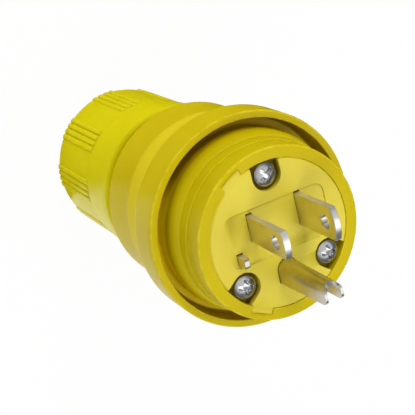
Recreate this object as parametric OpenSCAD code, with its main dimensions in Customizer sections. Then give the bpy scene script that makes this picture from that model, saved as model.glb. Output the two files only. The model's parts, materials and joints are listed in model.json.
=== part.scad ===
// Watertight cord plug with two flat blades and a U-shaped earth pin.
// A one-piece elastomer housing carries a sealing skirt round its nose. A contact carrier sits in the
// nose, held by three screws, and a ribbed gland nut at the rear squeezes a grommet round the cord.
// The plug stands on the rear face of the gland nut, with the contacts pointing up along +Z.
// +X points to the wide neutral blade and +Y away from the earth pin. Sizes are in millimetres.

/* [Contacts] */
// Distance between the middle planes of the two blades
blade_pitch = 12.7; // [11.5:0.1:14]
// Thickness of the blades and of the tang
blade_thick = 1.52; // [1.2:0.02:1.8]
// Width of the line blade
line_w = 6.35; // [5.5:0.05:7]
// Width of the neutral blade
neutral_w = 7.94; // [7:0.02:8.6]
// Height of the blades above the face
blade_proj = 16.1; // [15:0.1:19]
// Radius of a blade's curved end
blade_end_r = 8; // [6:0.5:12]
// Diameter of the hole in a blade
hole_d = 3.5; // [2.6:0.1:4]
// Height of the hole above the face
hole_up = 12; // [10:0.1:13]
// Distance of the blades from the plug's axis, along +Y
blade_y = 3.9; // [3:0.1:5]
// Distance from the blades' line down to the centre of the earth pin's dome
earth_drop = 12.6; // [11.5:0.1:13]
// Outer width of the earth pin at the face
earth_w = 5.2; // [4.6:0.1:5.6]
// Outer width of the earth pin at its end
earth_tip_w = 4.6; // [4:0.1:4.6]
// Height of the earth pin's section, from the dome to the open edges
earth_h = 5.4; // [4.8:0.1:6.4]
// Rise of the open edges towards the earth pin's end
earth_lift = 0.4; // [0.1:0.1:0.8]
// Sheet thickness of the earth pin
earth_wall = 0.65; // [0.5:0.05:1.3]
// Height of the earth pin above the face
earth_proj = 20; // [18.5:0.1:22.5]
// Corner radius at the end of the open edges
earth_round = 1.4; // [0.6:0.1:1.6]
// Radius of the rounded end of the dome
earth_nose = 2.6; // [2:0.1:3]
// Distance of the tang from the plug's axis, along -X
tang_x = 10.7; // [9.6:0.1:11.5]
// Distance of the tang from the plug's axis, along -Y
tang_y = 2.5; // [2:0.1:3.6]
// Width of the tang
tang_w = 2.6; // [2:0.1:3]
// Height of the tang above the face
tang_proj = 2.9; // [1.5:0.1:4]
// Corner radius at the tang's end
tang_round = 0.8; // [0.3:0.1:1]
// Thickness of the block's floor under the contacts
contact_floor = 2; // [1:0.5:4]

/* [Contact carrier] */
// Diameter of the carrier's face
face_d = 35.2; // [33:0.1:40]
// Thickness of the face disc
disc_depth = 12; // [9:0.5:15]
// Length of the terminal block behind the face disc
block_len = 19; // [16:0.5:24]
// Depth of the flat panel round the blades
panel_depth = 0.3; // [0.1:0.05:0.6]
// Margin of the panel outside the blades, at both sides
panel_side = 6.7; // [4:0.1:7]
// Margin of the panel above and below the neutral blade
panel_margin = 0.45; // [0.3:0.05:1]
// Extra height of the panel below the blades
panel_below = 3.9; // [1:0.1:4.2]
// Corner radius of the panel
panel_round = 2.5; // [1:0.1:4]
// Chamfer round the face's edge
face_edge = 0.35; // [0.2:0.05:0.6]
// Angle of the two locating tabs from +X
tab_angle = 118; // [112:1:124]
// Width of a locating tab
tab_w = 5.6; // [3:0.1:7]
// Reach of a locating tab past the face's edge
tab_reach = 1.3; // [0.6:0.1:1.6]
// Depth of a locating tab
tab_depth = 4; // [2:0.5:6]

/* [Screws] */
// Distance of the three screws from the face's edge
screw_edge = 3.2; // [3:0.1:3.7]
// Angle from the top screw to each lower screw
screw_spread = 129.5; // [124:0.5:133]
// Turn of the cross recess in a screw's head
screw_turn = 35; // [0:5:90]
// Head diameter
screw_head_d = 5.5; // [4.6:0.1:5.8]
// Head height
screw_head_h = 3; // [2:0.1:3.4]
// Shank diameter
screw_d = 2.9; // [2.4:0.1:3.2]
// Diameter of the pocket that holds a head
pocket_d = 7.3; // [6.4:0.1:7.8]
// Depth of the pocket below the face
pocket_depth = 2.9; // [2:0.1:5]
// Straight share of a head's height, below its crown
head_rim = 0.75; // [0.4:0.05:0.85]
// Width of a cross recess, as a share of the head's diameter
cross_slot = 0.19; // [0.1:0.01:0.22]
// Span of a cross recess, as a share of the head's diameter
cross_span = 0.68; // [0.4:0.02:0.8]
// Depth of a cross recess, as a share of the head's height
cross_depth = 0.5; // [0.4:0.05:0.8]
// Length of the threaded brass anchor in the housing
anchor_len = 7; // [4:0.5:9]
// Wall of the threaded brass anchor
anchor_wall = 0.75; // [0.5:0.05:0.9]

/* [Terminals] */
// Head diameter of a terminal screw
terminal_head_d = 5.6; // [4.6:0.1:6]
// Head height of a terminal screw
terminal_head_h = 2; // [1.4:0.1:2.6]
// Shank diameter of a terminal screw
terminal_d = 2.3; // [1.8:0.1:2.4]
// Room for a conductor between a contact and its clamp plate
wire_gap = 1; // [0.5:0.1:1.6]
// Side length of a square clamp plate
clamp_w = 7; // [6:0.1:8]
// Thickness of a clamp plate
clamp_thick = 1; // [0.6:0.1:1.4]
// Corner radius of a clamp plate
clamp_round = 1; // [0.4:0.1:2]
// Room round a clamp plate in its window
clamp_room = 0.8; // [0.3:0.1:1.2]

/* [Housing] */
// Length from the rear flange to the face
body_len = 46; // [43:0.5:54]
// Width of the front rim round the face
rim_w = 2.8; // [2:0.1:3.5]
// Widening of the nose from the front rim to its base
nose_flare = 1.5; // [1:0.1:2.5]
// Distance of the rear ring line from the face
ring_back = 9; // [7.6:0.1:10.5]
// Distance of the front ring line from the face
ring_front = 5.8; // [4:0.1:6.6]
// Height of a ring line's step
ring_step = 0.28; // [0.1:0.02:0.4]
// Widening of the band between the two ring lines
ring_flare = 0.1; // [0:0.05:0.4]
// Rounding of the front rim
front_edge = 0.5; // [0.2:0.1:1]
// Width of the sealing recess between nose and skirt
recess_w = 2.5; // [1.8:0.1:3.5]
// Depth of the sealing recess below the skirt's rim
recess_depth = 6; // [4:0.5:8]
// Narrowing of the recess down to its floor
recess_draft = 0.3; // [0.1:0.1:0.8]
// Wall of the skirt
skirt_wall = 1.8; // [1.4:0.1:2.6]
// Distance of the skirt's rim behind the face
skirt_back = 13; // [10:0.5:15]
// Length of the straight part of the skirt
skirt_len = 8.5; // [7:0.5:11]
// Rounding of the skirt's outer rim
skirt_edge = 0.5; // [0.3:0.1:1.2]
// Height of the shoulder from the crease up to the skirt
shoulder_rise = 1.4; // [0.8:0.1:2]
// Radius of the shoulder's convex curve
shoulder_r = 3; // [2.2:0.1:5]
// Widening of the body from the waist up to the crease, in radius
cone_rise = 2.2; // [1:0.1:3]
// Length of the body from the waist up to the crease
cone_len = 11.5; // [9:0.5:13]
// Radius of the concave curve at the waist
waist_r = 8; // [4:1:20]
// Height of the rear flange's edge above the waist
flange_lip = 0.8; // [0.1:0.1:1.2]
// Length of the sloped rear face of the flange
flange_slope = 4.5; // [2:0.5:6]
// Rounding of the flange's edge
flange_edge = 0.8; // [0.3:0.1:1.5]
// Wall of the threaded hub at its mouth
hub_wall = 2.4; // [1.8:0.1:3.5]
// Chamfer at the hub's end
hub_edge = 1; // [0.5:0.1:1.5]
// Wall between the wiring space and the screw anchors
wire_wall = 0.8; // [0.5:0.1:1.5]

/* [Cord seal] */
// Diameter of the cord that the grommet takes
cord_d = 11; // [8:0.5:13]
// Wall of the grommet at its narrow end
grommet_wall = 5.9; // [4:0.1:8]
// Widening of the grommet towards its rear, in radius
grommet_taper = 2; // [1:0.1:3]
// Length of the grommet's cone
grommet_len = 17.5; // [12:0.5:20]
// Thickness of the grommet's rear flange
grommet_flange = 2.5; // [1.5:0.1:4]
// Chamfer at both ends of the grommet's bore
grommet_edge = 1.2; // [0.5:0.1:2]
// Thickness of the thrust washer
washer_thick = 2; // [1:0.1:3]
// Clearance of the cord in the washer and in the nut
cord_room = 4; // [2:0.1:5]

/* [Gland nut] */
// Length of the nut
nut_len = 41; // [34:0.5:44]
// Gap between the nut and the flange's rim
nut_gap = 7.5; // [6:0.1:14]
// Wall of the nut round its thread
nut_wall = 4.1; // [2.8:0.1:5]
// Thickness of the nut's rear wall
nut_floor = 4.5; // [3:0.1:6]
// Widening of the nut at its smooth front collar
collar_flare = 1.1; // [0.4:0.1:2]
// Radius of the collar's rounded front edge
collar_round = 1.2; // [0.6:0.1:2.6]
// Rounding of the nut's rear edge
nut_foot = 1.2; // [0.6:0.1:2]
// Chamfer at the mouth and at the cord hole
nut_edge = 1; // [0.5:0.1:1.5]
// Groups of ribs round the nut
rib_groups = 9; // [6:1:10]
// Ribs in a group
rib_count = 4; // [2:1:5]
// Angle between the ribs of a group
rib_pitch = 4.8; // [4:0.1:6]
// Angle of the first group from +X
rib_phase = 14.5; // [0:0.5:40]
// Height of a rib
rib_h = 0.6; // [0.3:0.05:0.8]
// Width of a rib at its foot
rib_w = 1.2; // [0.7:0.05:1.4]
// Length of a rib
rib_len = 24; // [16:0.5:28]
// Distance of the ribs from the nut's rear face
rib_start = 0.7; // [0.2:0.1:2]
// Plain length between the ribs and the flare of the collar
rib_gap = 1.5; // [0.5:0.1:4]

/* [Fits] */
// Gap round pieces that are set into another piece
fit_gap = 0.1; // [0.05:0.01:0.2]
// Gap round the contacts in the face
slot_gap = 0.06; // [0.04:0.02:0.3]
// Free length of a slot past the upper edge of its blade or tang
slot_end = 0.3; // [0.2:0.1:1.2]
// Gap round the earth pin in the face
earth_gap = 0.1; // [0.05:0.05:0.5]
// Radial gap between the hub and the nut
thread_gap = 0.2; // [0.1:0.05:0.4]
// Free length between nut, washer and grommet
seat_gap = 0.25; // [0.1:0.05:0.5]

/* [Hidden] */
$fn = 96;
over = 1;

// Levels along the axis, from the nut's rear face up
washer_z = nut_floor + seat_gap;
grommet_z = washer_z + washer_thick + seat_gap;
hub_z = grommet_z + grommet_flange;
throat_z = hub_z + grommet_len;
flange_z = nut_len + nut_gap;
face_z = flange_z + body_len;
disc_z = face_z - disc_depth;
block_z = disc_z - block_len;
rim_z = face_z - skirt_back;
recess_z = rim_z - recess_depth;
shoulder_z = rim_z - skirt_len;
pocket_z = face_z - pocket_depth;
contact_z = block_z + contact_floor;
terminal_z = block_z + block_len / 2;

// Radii of the carrier and the housing, from the face outwards
face_r = face_d / 2;
cavity_r = face_r + fit_gap;
front_r = cavity_r + rim_w;
nose_r = front_r + nose_flare;
recess_r = nose_r + recess_w;
skirt_r = recess_r + skirt_wall;
crease_r = skirt_r - shoulder_rise;
neck_r = crease_r - cone_rise;
flange_r = neck_r + flange_lip;

// Radii of the cord seal, from the cord outwards
cord_r = cord_d / 2;
grommet_tip_r = cord_r + grommet_wall;
grommet_rear_r = grommet_tip_r + grommet_taper;
mouth_r = grommet_rear_r + fit_gap;
throat_r = grommet_tip_r + fit_gap;
hub_r = mouth_r + hub_wall;
nut_bore_r = hub_r + thread_gap;
nut_r = nut_bore_r + nut_wall;
washer_r = nut_bore_r - 2 * seat_gap;
cord_hole_r = cord_r + cord_room;

// Places of the contacts and of the screws
earth_y = blade_y - earth_drop;
screw_r = screw_d / 2;
screw_ring = face_r - screw_edge;
screw_angles = [90, 90 - screw_spread, 90 + screw_spread];
anchor_r = screw_r + fit_gap + anchor_wall;
wire_r = screw_ring - anchor_r - fit_gap - wire_wall;
terminal_r = terminal_d / 2;
side_x = blade_pitch / 2 + blade_thick / 2;
earth_x = earth_h - earth_w / 2 - earth_y;

// Points of an arc round [cx, cy] from angle a0 to a1
function arc(cx, cy, r, a0, a1, n = 8) =
    [for (i = [0:n]) [cx + r * cos(a0 + (a1 - a0) * i / n), cy + r * sin(a0 + (a1 - a0) * i / n)]];

// Turns of the waist's concave curve and of the shoulder's convex curve
shoulder_turn = acos(1 - shoulder_rise / shoulder_r);
cone_turn = atan(cone_rise / cone_len);
crease_z = shoulder_z - shoulder_r * sin(shoulder_turn);
waist_z = crease_z - cone_len - waist_r * tan(cone_turn / 2);

// Nose curve: a circle that leaves the nose's base upright and meets the rear ring line
nose_ring_z = face_z - ring_back;
ring_r = front_r + 2 * ring_step + ring_flare;
nose_arc_r = (pow(nose_r - ring_r, 2) + pow(nose_ring_z - rim_z, 2)) / (2 * (nose_r - ring_r));
nose_arc_turn = asin((nose_ring_z - rim_z) / nose_arc_r);

module rounded_rect(w, h, r) {
    square([w - 2 * r, h], center = true);
    square([w, h - 2 * r], center = true);
    for (sx = [-1, 1], sy = [-1, 1]) {
        translate([sx * (w / 2 - r), sy * (h / 2 - r)]) circle(r);
    }
}

// Housing: hub, flange, waist, cone, shoulder, skirt and nose in one turned outline
module housing_outline() {
    back_z = flange_z - flange_slope;
    back_r = flange_r - flange_slope;
    polygon(concat(
        [[hub_r - hub_edge, hub_z], [hub_r, hub_z + hub_edge], [hub_r, back_z], [back_r, back_z]],
        arc(flange_r - flange_edge, flange_z + flange_edge, flange_edge, -45, 0, 4),
        arc(neck_r + waist_r, waist_z, waist_r, 180, 180 - cone_turn, 4),
        arc(skirt_r - shoulder_r, shoulder_z, shoulder_r, -shoulder_turn, 0),
        arc(skirt_r - skirt_edge, rim_z - skirt_edge, skirt_edge, 0, 90, 5),
        [[recess_r, rim_z], [recess_r - recess_draft, recess_z], [nose_r, recess_z]],
        arc(nose_r - nose_arc_r, rim_z, nose_arc_r, 0, nose_arc_turn),
        [[ring_r - ring_step, nose_ring_z + ring_step], [front_r + ring_step, face_z - ring_front]],
        [[front_r, face_z - ring_front + ring_step]],
        arc(front_r - front_edge, face_z - front_edge, front_edge, 0, 90, 4),
        [[cavity_r, face_z], [cavity_r, block_z], [wire_r, block_z]],
        [[wire_r, throat_z + abs(wire_r - cord_hole_r)]],
        [[cord_hole_r, throat_z], [throat_r, throat_z], [mouth_r, hub_z]]));
}

module housing() {
    color("gold") difference() {
        rotate_extrude() housing_outline();
        for (a = [tab_angle, -tab_angle]) {
            rotate([0, 0, a]) translate([face_r - over, -tab_w / 2 - fit_gap, face_z - tab_depth - fit_gap])
                cube([tab_reach + fit_gap + over, tab_w + 2 * fit_gap, tab_depth + fit_gap + over]);
        }
        at_screws() translate([0, 0, block_z - anchor_len])
            cylinder(r = anchor_r + fit_gap, h = anchor_len + over);
    }
}

module at_screws() {
    for (a = screw_angles) {
        rotate([0, 0, a]) translate([screw_ring, 0, 0]) children();
    }
}

// Upright rectangular prism round a contact's place, widened by a gap
module prism(x, y, w, h, z0, z1) {
    translate([x - w / 2, y - h / 2, z0]) cube([w, h, z1 - z0]);
}

// Section of the earth pin, a folded sheet with its dome towards the blades
module earth_section(gap) {
    r = earth_w / 2;
    leg = earth_h - r;
    translate([0, earth_y]) {
        intersection() {
            circle(r + gap);
            translate([-r - gap, 0]) square([earth_w + 2 * gap, r + gap]);
        }
        translate([-r - gap, -leg - gap]) square([earth_w + 2 * gap, leg + gap]);
    }
}

module earth_core() {
    r = earth_w / 2 - earth_wall;
    translate([0, earth_y]) circle(r);
    translate([-r, earth_y - earth_h]) square([2 * r, earth_h]);
}

// Holes for the contacts through the carrier, with a free length past the blades' upper edges
module contact_slots(gap, free, round_earth, z0, z1) {
    flat_slot(-blade_pitch / 2, blade_y, line_w, gap, free, z0, z1);
    flat_slot(blade_pitch / 2, blade_y, neutral_w, gap, free, z0, z1);
    translate([0, 0, z0]) linear_extrude(z1 - z0) earth_section(round_earth);
}

module flat_slot(x, y, w, gap, free, z0, z1) {
    prism(x, y + free / 2, blade_thick + 2 * gap, w + 2 * gap + free, z0, z1);
}

// Hole for the tang, from z0 to above the face
module tang_slot(gap, free, z0) {
    flat_slot(-tang_x, -tang_y, tang_w, gap, free, z0, face_z + over);
}

// Face disc: blade slots, open screw pockets, a sunk panel and two locating tabs
module face_disc() {
    panel_w = blade_pitch + 2 * panel_side;
    panel_top = blade_y + neutral_w / 2 + panel_margin;
    panel_low = blade_y - neutral_w / 2 - panel_margin - panel_below;
    color("khaki") difference() {
        union() {
            translate([0, 0, disc_z]) cylinder(r = face_r, h = disc_depth - face_edge);
            translate([0, 0, face_z - face_edge])
                cylinder(r1 = face_r, r2 = face_r - face_edge, h = face_edge);
            for (a = [tab_angle, -tab_angle]) {
                rotate([0, 0, a]) translate([face_r - over, -tab_w / 2, face_z - tab_depth])
                    cube([tab_reach + over, tab_w, tab_depth - face_edge]);
            }
        }
        contact_slots(slot_gap, slot_end, earth_gap, disc_z - over, face_z + over);
        tang_slot(slot_gap, slot_end, disc_z - over);
        translate([0, (panel_top + panel_low) / 2, face_z - panel_depth]) linear_extrude(over)
            rounded_rect(panel_w, panel_top - panel_low, panel_round);
        at_screws() {
            translate([0, 0, disc_z - over]) cylinder(r = screw_r + slot_gap, h = disc_depth + over);
            translate([0, 0, pocket_z]) cylinder(d = pocket_d, h = pocket_depth + over);
            translate([0, -pocket_d / 2, pocket_z]) cube([screw_edge + over, pocket_d, pocket_depth + over]);
        }
    }
}

// Turns a shape that points along +X to the line, neutral or earth terminal
module at_line() {
    translate([0, blade_y, terminal_z]) mirror([1, 0, 0]) children();
}

module at_neutral() {
    translate([0, blade_y, terminal_z]) children();
}

module at_earth() {
    translate([0, 0, terminal_z]) rotate([0, 0, -90]) children();
}

// Window in the block's side for a terminal's clamp plate and screw, from x0 outwards
module terminal_window(x0) {
    room = clamp_w + 2 * clamp_room;
    translate([x0, -room / 2, -room / 2]) cube([face_r - x0 + over, room, room]);
}

module terminal_block() {
    color("dimgray") difference() {
        translate([0, 0, block_z]) cylinder(r = face_r, h = block_len);
        contact_slots(fit_gap, 0, fit_gap, contact_z - fit_gap, disc_z + over);
        tang_slot(fit_gap, 0, terminal_z - fit_gap);
        at_screws() translate([0, 0, block_z - over])
            cylinder(r = screw_r + slot_gap, h = block_len + 2 * over);
        at_line() terminal_cuts(side_x, blade_pitch / 4);
        at_neutral() terminal_cuts(side_x, blade_pitch / 4);
        at_earth() terminal_cuts(earth_x, -earth_y - earth_w);
    }
}

// Window and screw hole of one terminal
module terminal_cuts(x_window, x_hole) {
    terminal_window(x_window);
    translate([x_hole, 0, 0]) rotate([0, 90, 0])
        cylinder(r = terminal_r + fit_gap, h = x_window - x_hole + over);
}

// Flat blade with a curved end, a hole and a tapped terminal hole
module blade(w) {
    top = face_z + blade_proj;
    difference() {
        rotate([90, 0, 90]) translate([0, 0, -blade_thick / 2])
            linear_extrude(blade_thick) blade_side(w, top);
        translate([-over, 0, terminal_z]) rotate([0, 90, 0])
            cylinder(r = terminal_r + fit_gap, h = 2 * over);
        translate([-over, 0, face_z + hole_up]) rotate([0, 90, 0]) cylinder(d = hole_d, h = 2 * over);
    }
}

module blade_side(w, top) {
    centre = top - blade_end_r;
    translate([-w / 2, contact_z]) square([w, centre - contact_z]);
    intersection() {
        translate([0, centre]) circle(blade_end_r);
        translate([-w / 2, centre - over]) square([w, blade_end_r + 2 * over]);
    }
}

module line_blade() {
    color("silver") translate([-blade_pitch / 2, blade_y, 0]) blade(line_w);
}

module neutral_blade() {
    color("silver") translate([blade_pitch / 2, blade_y, 0]) blade(neutral_w);
}

// Earth pin: a folded U of sheet that narrows above the face, with a rounded end
module earth_pin() {
    top = face_z + earth_proj;
    dome_y = earth_y + earth_w / 2;
    color("silver") difference() {
        intersection() {
            difference() {
                union() {
                    translate([0, 0, contact_z]) linear_extrude(face_z - contact_z) earth_section(0);
                    earth_taper(0, earth_proj);
                }
                translate([0, 0, contact_z - over]) linear_extrude(face_z - contact_z + over) earth_core();
                earth_taper(earth_wall, earth_proj + over);
            }
            rotate([90, 0, 90]) translate([0, 0, -earth_w])
                linear_extrude(2 * earth_w) earth_side(dome_y - earth_h, dome_y + over, top);
        }
        at_earth() translate([-earth_y - earth_w, 0, 0]) rotate([0, 90, 0])
            cylinder(r = terminal_r + fit_gap, h = earth_w);
    }
}

// Solid of the narrowing part up to length h, set in from the outside by a wall
module earth_taper(wall, h) {
    r1 = earth_w / 2 - wall;
    r2 = r1 - (earth_w - earth_tip_w) / 2 * h / earth_proj;
    translate([0, earth_y, face_z]) {
        cylinder(r1 = r1, r2 = r2, h = h);
        rotate([90, 0, 0]) linear_extrude(earth_h) polygon([[-r1, 0], [r1, 0], [r2, h], [-r2, h]]);
    }
}

// Side view of the earth pin from its open edges at low to above its dome
module earth_side(low, high, top) {
    tip = low + earth_lift;
    nose_y = earth_y + earth_tip_w / 2 + 2 * fit_gap - earth_nose;
    polygon(concat([[low, contact_z], [low, face_z]],
        arc(tip + earth_round, top - earth_round, earth_round, 180, 90),
        arc(nose_y, top - earth_nose, earth_nose, 90, 0),
        [[high, top - earth_nose], [high, contact_z]]));
}

// Tang: a short strip with rounded corners at its end
module tang() {
    top = face_z + tang_proj;
    color("silver") translate([-tang_x, -tang_y, 0]) rotate([90, 0, 90]) translate([0, 0, -blade_thick / 2])
        linear_extrude(blade_thick) {
        translate([-tang_w / 2, terminal_z]) square([tang_w, top - terminal_z - tang_round]);
        translate([tang_round - tang_w / 2, terminal_z]) square([tang_w - 2 * tang_round, top - terminal_z]);
        for (side = [-1, 1]) {
            translate([side * (tang_w / 2 - tang_round), top - tang_round]) circle(tang_round);
        }
    }
}

// Round-headed screw with a cross recess, its head seated at z = 0 and its shank pointing down
module cross_screw(head_d, head_h, shank_r, length) {
    slot = head_d * cross_slot;
    span = head_d * cross_span;
    rim = head_h * head_rim;
    crown = head_h - rim;
    dome_r = (pow(head_d / 2, 2) + pow(crown, 2)) / (2 * crown);
    dome_turn = asin(head_d / 2 / dome_r);
    difference() {
        union() {
            rotate_extrude() polygon(concat([[0, 0], [head_d / 2, 0]],
                arc(0, head_h - dome_r, dome_r, 90 - dome_turn, 90)));
            translate([0, 0, -length]) cylinder(r = shank_r, h = length + over / 2);
        }
        for (a = [0, 90]) {
            rotate([0, 0, a]) translate([-span / 2, -slot / 2, head_h * (1 - cross_depth)])
                cube([span, slot, head_h]);
        }
    }
}

module assembly_screws() {
    reach = pocket_z - block_z + anchor_len - over;
    color("lightsteelblue") at_screws() translate([0, 0, pocket_z])
        rotate([0, 0, screw_turn]) cross_screw(screw_head_d, screw_head_h, screw_r, reach);
}

module screw_anchors() {
    color("darkgoldenrod") at_screws() translate([0, 0, block_z - anchor_len]) difference() {
        cylinder(r = anchor_r, h = anchor_len);
        translate([0, 0, -over]) cylinder(r = screw_r + fit_gap, h = anchor_len + 2 * over);
    }
}

// Terminal screw along +X, its head on the clamp plate of the contact at x and its end past it at x_end
module terminal_screw(x, x_end) {
    seat = x + wire_gap + clamp_thick;
    translate([seat, 0, 0]) rotate([0, 90, 0])
        cross_screw(terminal_head_d, terminal_head_h, terminal_r, seat - x_end);
}

module terminal_clamp(x) {
    translate([x + wire_gap, 0, 0]) rotate([0, 90, 0])
        linear_extrude(clamp_thick) difference() {
        rounded_rect(clamp_w, clamp_w, clamp_round);
        circle(terminal_r + fit_gap);
    }
}

module line_screw() {
    color("goldenrod") at_line() terminal_screw(side_x, blade_pitch / 4 + fit_gap);
}

module neutral_screw() {
    color("gainsboro") at_neutral() terminal_screw(side_x, blade_pitch / 4 + fit_gap);
}

module earth_screw() {
    color("seagreen") at_earth() terminal_screw(earth_x, fit_gap - earth_y - earth_w);
}

module line_clamp() {
    color("goldenrod") at_line() terminal_clamp(side_x);
}

module neutral_clamp() {
    color("gainsboro") at_neutral() terminal_clamp(side_x);
}

module earth_clamp() {
    color("seagreen") at_earth() terminal_clamp(earth_x);
}

// Grommet: a rubber cone with a rear flange that rests on the hub's end
module cable_grommet() {
    rear_r = hub_r - 2 * seat_gap;
    lead_r = cord_r + grommet_edge;
    color("black") rotate_extrude() polygon([
        [lead_r, grommet_z], [rear_r, grommet_z], [rear_r, hub_z], [grommet_rear_r, hub_z],
        [grommet_tip_r, throat_z], [lead_r, throat_z], [cord_r, throat_z - grommet_edge],
        [cord_r, grommet_z + grommet_edge]]);
}

module thrust_washer() {
    color("whitesmoke") translate([0, 0, washer_z]) difference() {
        cylinder(r = washer_r, h = washer_thick);
        translate([0, 0, -over]) cylinder(r = cord_hole_r, h = washer_thick + 2 * over);
    }
}

// Gland nut: a cap with a cord hole, groups of ribs and a smooth flared collar in front
module nut_outline() {
    flare_z = nut_len - collar_round;
    smooth_z = rib_len + rib_gap;
    polygon(concat(
        [[cord_hole_r + nut_edge, 0]],
        arc(nut_r - nut_foot, nut_foot, nut_foot, -90, 0, 4),
        [[nut_r, smooth_z]],
        arc(nut_r + collar_flare - collar_round, flare_z, collar_round, 0, 90, 6),
        [[nut_bore_r + nut_edge, nut_len], [nut_bore_r, nut_len - nut_edge], [nut_bore_r, nut_floor]],
        [[cord_hole_r, nut_floor], [cord_hole_r, nut_edge]]));
}

module gland_nut() {
    color("yellow") union() {
        rotate_extrude() nut_outline();
        for (g = [0:rib_groups - 1], k = [0:rib_count - 1]) {
            rotate([0, 0, rib_phase + g * 360 / rib_groups + (k - (rib_count - 1) / 2) * rib_pitch])
                translate([nut_r + rib_h - rib_w / 2, 0, rib_start])
                cylinder(d = rib_w, h = rib_len - rib_start);
        }
    }
}

housing();
face_disc();
terminal_block();
line_blade();
neutral_blade();
earth_pin();
tang();
assembly_screws();
screw_anchors();
line_screw();
neutral_screw();
earth_screw();
line_clamp();
neutral_clamp();
earth_clamp();
cable_grommet();
thrust_washer();
gland_nut();
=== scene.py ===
# Watertight cord plug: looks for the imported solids, in metres, standing on the gland nut
import json
import math
import bmesh
import bpy
import numpy as np
from mathutils import Matrix, Vector


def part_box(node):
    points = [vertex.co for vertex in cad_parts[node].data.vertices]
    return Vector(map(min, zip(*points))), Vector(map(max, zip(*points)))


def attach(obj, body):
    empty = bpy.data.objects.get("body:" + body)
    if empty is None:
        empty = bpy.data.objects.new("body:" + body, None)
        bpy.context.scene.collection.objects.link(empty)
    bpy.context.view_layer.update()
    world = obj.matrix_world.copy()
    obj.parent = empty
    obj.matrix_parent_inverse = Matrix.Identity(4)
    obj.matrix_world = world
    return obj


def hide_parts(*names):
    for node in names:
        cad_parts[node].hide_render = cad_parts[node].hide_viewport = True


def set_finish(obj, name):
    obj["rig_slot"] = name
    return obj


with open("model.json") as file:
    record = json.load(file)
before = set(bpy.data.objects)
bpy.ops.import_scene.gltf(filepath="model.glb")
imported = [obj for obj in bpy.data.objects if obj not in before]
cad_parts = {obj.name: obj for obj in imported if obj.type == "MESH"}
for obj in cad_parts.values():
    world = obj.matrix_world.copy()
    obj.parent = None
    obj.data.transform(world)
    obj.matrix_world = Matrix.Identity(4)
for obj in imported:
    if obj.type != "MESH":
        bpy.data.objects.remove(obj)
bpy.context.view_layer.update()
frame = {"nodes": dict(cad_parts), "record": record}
scene = bpy.context.scene
mm = 0.001
nearby = 0.01  # a row this close to a wall or level lies on it, mm
mergeDistance = 2e-6  # corners of a CAD mesh this close are one, m


def boxOf(node):
    # lowest and highest corner of a CAD node, mm
    low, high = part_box(node)
    return low / mm, high / mm


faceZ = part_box("face_disc")[1].z / mm  # level of the contact face, mm
print("frame loaded:", len(frame["nodes"]), "nodes, face at", round(faceZ, 2), "mm")


# Surfaces

def arcPoints(centreR, centreZ, radius, startDeg, endDeg, count):
    # points at equal turns round a centre, with no corner radius of their own
    turn = np.radians(np.linspace(startDeg, endDeg, count))
    return np.c_[centreR + radius * np.cos(turn), centreZ + radius * np.sin(turn), np.zeros(count)]


def roundCorners(corners, steps=5, sideShare=0.48, leastTurn=1e-3, shortest=1e-4):
    # each corner (r, z, radius) of a closed outline becomes an arc that touches both its sides:
    # tangent length = radius / tan(half angle), at most sideShare of the shorter side
    corners = np.asarray(corners, float)
    here, radius = corners[:, :2], corners[:, 2]
    back, ahead = np.roll(here, 1, 0) - here, np.roll(here, -1, 0) - here
    backLen, aheadLen = np.linalg.norm(back, axis=1), np.linalg.norm(ahead, axis=1)
    back, ahead = back / backLen[:, None], ahead / aheadLen[:, None]
    half = np.arccos(np.clip((back * ahead).sum(1), -1, 1)) / 2
    reach = np.minimum(radius / np.tan(np.maximum(half, leastTurn)), sideShare * np.minimum(backLen, aheadLen))
    along = np.linspace(0, 1, steps + 1)[None, :, None]
    first, last = (here + back * reach[:, None])[:, None], (here + ahead * reach[:, None])[:, None]
    middle = here[:, None]
    # a rational curve with weight sin(half angle) is the exact arc between the two touching points
    weight = np.sin(half)[:, None, None]
    share = (1 - along) ** 2 + 2 * weight * along * (1 - along) + along ** 2
    curve = ((1 - along) ** 2 * first + 2 * weight * along * (1 - along) * middle + along ** 2 * last) / share
    flat = curve.reshape(-1, 2)
    step = np.linalg.norm(flat - np.roll(flat, 1, 0), axis=1)
    return flat[step > shortest]


def splitLong(outline, longest):
    # cuts every side of a closed outline into equal pieces no longer than longest
    ahead = np.roll(outline, -1, 0)
    pieces = np.maximum(1, np.ceil(np.linalg.norm(ahead - outline, axis=1) / longest)).astype(int)
    side = np.repeat(np.arange(len(outline)), pieces)
    start = np.repeat(np.cumsum(pieces) - pieces, pieces)
    part = (np.arange(pieces.sum()) - start) / pieces[side]
    return outline[side] + (ahead[side] - outline[side]) * part[:, None]


def onWall(rows, radius):
    # rows of an outline that lie on a straight wall of that radius
    return np.abs(rows[:, 0] - radius) < nearby


def outlineBend(outline):
    # bend = turn at a point over the mean length of its two sides, positive on convex edges
    back, ahead = outline - np.roll(outline, 1, 0), np.roll(outline, -1, 0) - outline
    turn = np.arctan2(back[:, 0] * ahead[:, 1] - back[:, 1] * ahead[:, 0], (back * ahead).sum(1))
    return turn / (0.5 * (np.linalg.norm(back, axis=1) + np.linalg.norm(ahead, axis=1)))


def turnBetween(first, second):
    # smallest turn between two angles, from 0 to half a turn
    return np.abs(np.angle(np.exp(1j * (first - second))))


def turned(radius, height, angles):
    # radius and height of each row, turned about the Z axis through all angles
    shape = np.broadcast_shapes(np.shape(radius), np.shape(height), (1, len(angles)))
    r, z = np.broadcast_to(radius, shape), np.broadcast_to(height, shape)
    return np.stack([r * np.cos(angles), r * np.sin(angles), z], -1)


def easeStep(low, high, x):
    # 0 below low, 1 above high, with a soft start and end
    t = np.clip((x - low) / (high - low), 0, 1)
    return t * t * (3 - 2 * t)


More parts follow.
